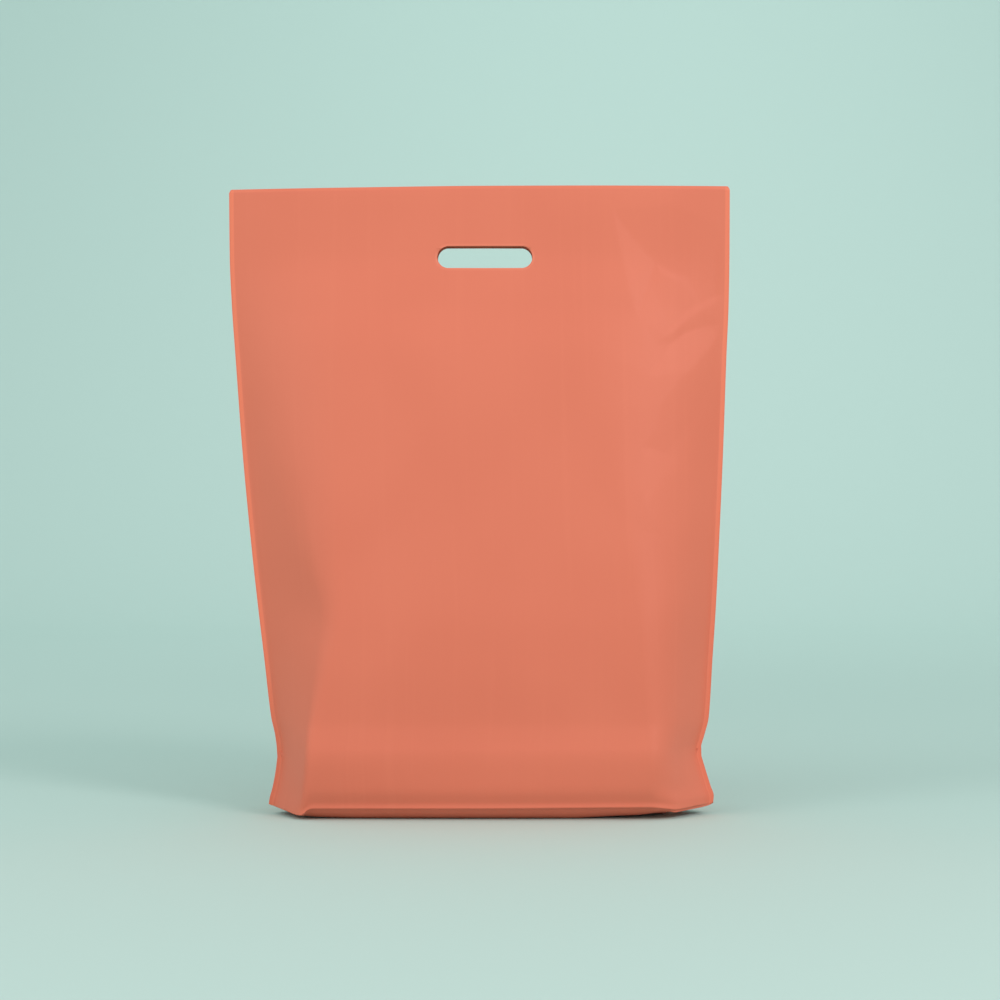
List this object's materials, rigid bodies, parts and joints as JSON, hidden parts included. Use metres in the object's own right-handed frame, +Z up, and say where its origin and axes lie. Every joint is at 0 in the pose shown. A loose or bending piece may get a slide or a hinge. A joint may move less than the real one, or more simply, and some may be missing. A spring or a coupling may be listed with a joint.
{
  "type": "plastic carrier bag",
  "caption": "Film carrier bag standing open on its bottom gusset, side-welded, with a punched handle slot near the mouth.",
  "frame": {"origin": "middle of the bag's bounding box, on the floor it stands on", "axes": "+Z up to the mouth, +X along the mouth to the right of the front panel, front panel facing -Y"},
  "size_m": [0.4506, 0.1198, 0.5645],
  "materials": {
    "film": "low-sheen polythene film, one even coral colour, unprinted"
  },
  "bodies": {
    "root": {"carrier_bag": "film"}
  },
  "joints": []
}
